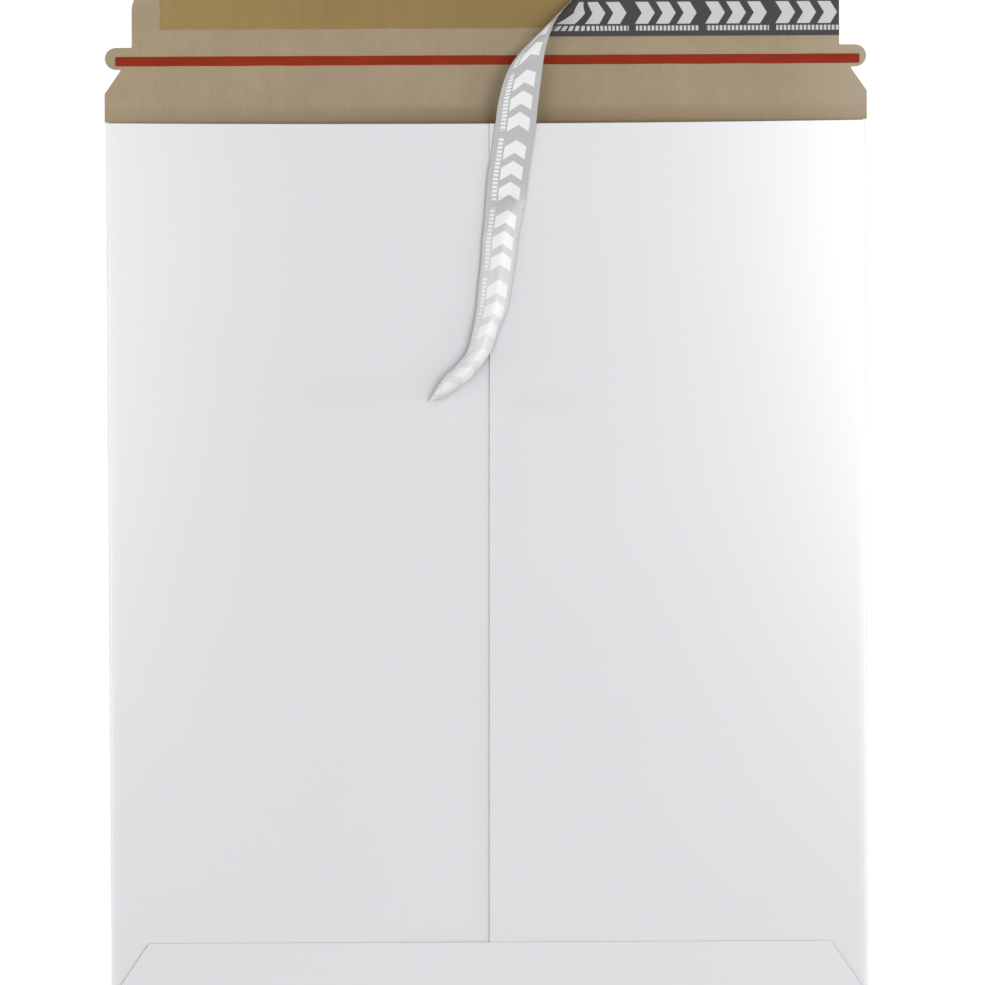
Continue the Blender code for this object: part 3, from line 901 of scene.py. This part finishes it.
def liner_print(n):
    """A plain geometric print along the strip: groups of three chevrons over a fine row of
    ticks. 1 where it is printed light."""
    spot = n.add("ShaderNodeUVMap", uv_map="strip").outputs["UV"]
    parts = n.add("ShaderNodeSeparateXYZ")
    n.feed(parts.inputs["Vector"], spot)
    along, across = parts.outputs["X"], parts.outputs["Y"]
    off_middle = n.math("ABSOLUTE", n.math("SUBTRACT", across, CHEVRON_MIDDLE))
    slanted = n.math("SUBTRACT", along, n.math("MULTIPLY", off_middle, CHEVRON_SLOPE))
    place = repeat(n, slanted, PRINT_PERIOD)
    group = inside(n, place, 0.0, CHEVRONS * CHEVRON_PITCH)
    stripes = n.math("MULTIPLY", group, pitched(n, place, CHEVRON_PITCH, CHEVRON_SHARES))
    shapes = n.math("MULTIPLY", stripes, inside(n, across, CHEVRON_LOW, CHEVRON_HIGH))
    row = inside(n, repeat(n, along, PRINT_PERIOD), 0.0, CHEVRONS * CHEVRON_PITCH)
    ticks = n.math("MULTIPLY", row, pitched(n, along, TICK_PITCH, TICK_SHARES))
    ticks = n.math("MULTIPLY", ticks, inside(n, across, TICK_LOW, TICK_HIGH))
    return n.math("MAXIMUM", shapes, ticks)


def liner_front():
    n = new_material("liner_print")
    tone = n.ramp(n.noise(180, detail=3), 0.2, 0.8)
    ink = n.mix(tone, LINER_INK, scaled(LINER_INK, INK_TONE))
    n.bump(n.noise(350), strength=0.05, distance=0.1 * MM)
    return n.surface(n.mix(liner_print(n), ink, LINER_LIGHT), roughness=0.5, specular=0.3)


def liner_back():
    n = new_material("liner_back")
    # Painted sheen: the back is painted lighter down the liner's hanging part
    lower = n.ramp(n.place("Y"), MOUTH_Y - SHEEN_FROM, MOUTH_Y - SHEEN_TO)
    paper = n.mix(lower, LINER_BACK, LINER_BACK_SHEEN)
    n.bump(n.noise(350), strength=0.08, distance=0.1 * MM)
    return n.surface(n.mix(liner_print(n), paper, LINER_BACK_LIGHT), roughness=0.42, specular=0.9)


def plain(name, colour, roughness):
    n = new_material(name)
    tone = n.ramp(n.noise(400), 0.3, 0.7)
    return n.surface(n.mix(tone, colour, scaled(colour, PLAIN_TONE)), roughness)


def dress_board():
    cut = plain("cut_edge", CUT_EDGE, roughness=0.9)
    board = make_board([coated_board(), raw_board(), cut])
    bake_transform(board)
    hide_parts("pocket", "closing_flap")


def dress_tape():
    tape = strip("tear_tape", TEAR_LOW, TEAR_HIGH, tear_tape(), TAPE_WOBBLE)
    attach(tape, "flap")
    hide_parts("tear_strip")


def dress_adhesive():
    wobbles = (ADHESIVE_WOBBLE, ADHESIVE_END_WOBBLE)
    band = strip("adhesive_film", BAND_LOW, BAND_HIGH, adhesive(), *wobbles)
    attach(band, "flap")
    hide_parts("adhesive_band")


def dress_liner():
    edge = plain("liner_edge", LINER_PAPER, roughness=0.6)
    liner = make_liner([liner_front(), liner_back(), edge])
    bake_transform(liner)
    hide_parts("release_liner")


def dress_glue():
    glue = plain("glue_line", DRY_GLUE, roughness=0.5)
    for name in ("seam_glue", "bottom_flap_glue"):
        node = frame["nodes"][name]
        node.data.materials.clear()
        node.data.materials.append(glue)


def floor():
    """A pale floor that reads as white where it is lit, and keeps the mailer's shadow."""
    n = new_material("floor_white")
    seen = n.seen_by("Is Camera Ray", "Is Glossy Ray", "Is Transmission Ray")
    n.feed(n.shader.inputs["Emission Strength"], n.math("MULTIPLY", seen, FLOOR_GLOW))
    n.feed(n.shader.inputs["Emission Color"], (1, 1, 1))
    made = bmesh.new()
    bmesh.ops.create_grid(made, x_segments=1, y_segments=1, size=FLOOR_HALF)
    plane = finish_mesh("floor", made, [n.surface(FLOOR_COLOUR, roughness=1.0, specular=0.0)])
    plane.location.z = -FLOOR_DROP


def world():
    """Even light from all round. The world itself is seen as white."""
    n = Nodes(bpy.data.worlds.new("studio"))
    n.tree.nodes.clear()

    def glow(strength):
        node = n.add("ShaderNodeBackground")
        n.feed(node.inputs["Color"], (1, 1, 1))
        n.feed(node.inputs["Strength"], strength)
        return node.outputs[0]

    seen = n.seen_by("Is Camera Ray", "Is Transmission Ray")
    mix = n.add("ShaderNodeMixShader")
    for socket, source in zip(mix.inputs, (seen, glow(WORLD_STRENGTH), glow(1.0))):
        n.feed(socket, source)
    n.feed(n.add("ShaderNodeOutputWorld").inputs["Surface"], mix.outputs[0])
    bpy.context.scene.world = n.owner


def lamps():
    """Area lamps, each aimed at the mailer's middle."""
    for name, side, degrees, ahead, watts in LAMPS:
        angle = math.radians(degrees)
        aside, up = side * LAMP_DISTANCE * math.sin(angle), LAMP_DISTANCE * math.cos(angle)
        place = Vector((aside, ahead, up))
        light = bpy.data.lights.new(name, "AREA")
        light.shape = "RECTANGLE"
        light.size, light.size_y = LAMP_SIZE
        light.energy = watts
        thing = link(name, light)
        thing.location = place
        thing.rotation_euler = (-place).to_track_quat("-Z", "Y").to_euler()


def camera():
    """Nearly straight above, a little towards the flap, and placed so that the mouth's middle
    lands where the photograph has it."""
    dx = PHOTO_SIZE[0] / 2 - MOUTH_IN_PHOTO[0]
    dy = PHOTO_SIZE[1] / 2 - MOUTH_IN_PHOTO[1]
    x = PHOTO_SCALE * (dx - PHOTO_ROLL * dy)
    y = MOUTH_Y - PHOTO_SCALE * (dy + PHOTO_ROLL * dx)
    lens = bpy.data.cameras.new("camera")
    lens.sensor_width = SENSOR
    lens.lens = SENSOR * CAMERA_HEIGHT / (PHOTO_SCALE * max(PHOTO_SIZE))
    back = CAMERA_HEIGHT * math.sin(PHOTO_TILT)
    up = CAMERA_HEIGHT * math.cos(PHOTO_TILT)
    thing = link("camera", lens)
    thing.location = (x + back * PHOTO_ROLL, y + back, up)
    thing.rotation_euler = (-PHOTO_TILT, 0, -PHOTO_ROLL)
    bpy.context.scene.camera = thing


def build():
    camera()
    dress_board()
    dress_tape()
    dress_adhesive()
    dress_liner()
    dress_glue()
    floor()
    world()
    lamps()
    bpy.context.scene.view_settings.view_transform = "Standard"


build()
